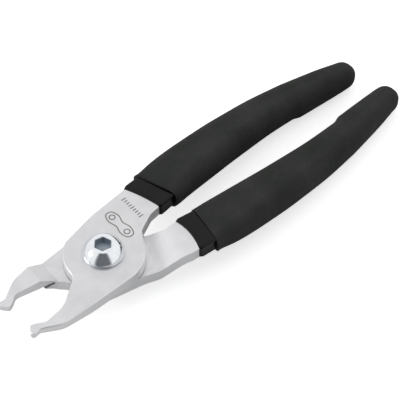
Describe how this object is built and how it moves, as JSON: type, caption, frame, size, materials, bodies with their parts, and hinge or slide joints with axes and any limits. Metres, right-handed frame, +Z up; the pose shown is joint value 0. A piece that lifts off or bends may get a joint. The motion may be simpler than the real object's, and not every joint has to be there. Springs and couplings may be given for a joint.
{
  "type": "chain link pliers",
  "caption": "Slim pliers with hooked jaw tips for opening and closing bicycle chain joining links, stamped steel levers on a button-head pivot, foam grips.",
  "frame": {"origin": "on the pivot axis, at the flat end of the pivot screw and the lock nut under the levers", "axes": "+X from the pivot along the handles (the jaws point to -X), +Y towards the upper lever's handle, +Z up along the pivot axis to the screw's head"},
  "size_m": [0.1609, 0.0435, 0.0192],
  "materials": {
    "lever_steel": "satin nickel plate over tumbled stamped steel",
    "screw_zinc": "bright zinc",
    "washer_bronze": "plain rolled bronze",
    "washer_zinc": "zinc plate",
    "nut_zinc": "zinc plate",
    "insert_nylon": "nylon",
    "dip_vinyl": "glossy dipped vinyl",
    "grip_foam": "matte fine closed-cell foam"
  },
  "bodies": {
    "upper_half": {"upper_lever": "lever_steel", "pivot_screw": "screw_zinc", "friction_washer": "washer_bronze", "back_washer": "washer_zinc", "lock_nut": "nut_zinc", "nut_insert": "insert_nylon", "upper_dip_sleeve": "dip_vinyl", "upper_foam_grip": "grip_foam"},
    "lower_half": {"lower_lever": "lever_steel", "lower_dip_sleeve": "dip_vinyl", "lower_foam_grip": "grip_foam"}
  },
  "joints": [
    {"name": "pivot", "type": "hinge", "parent": "upper_half", "child": "lower_half", "pos_m": [0, 0, 0.00815], "axis": [0, 0, -1], "range_deg": [-4.5, 70]}
  ]
}
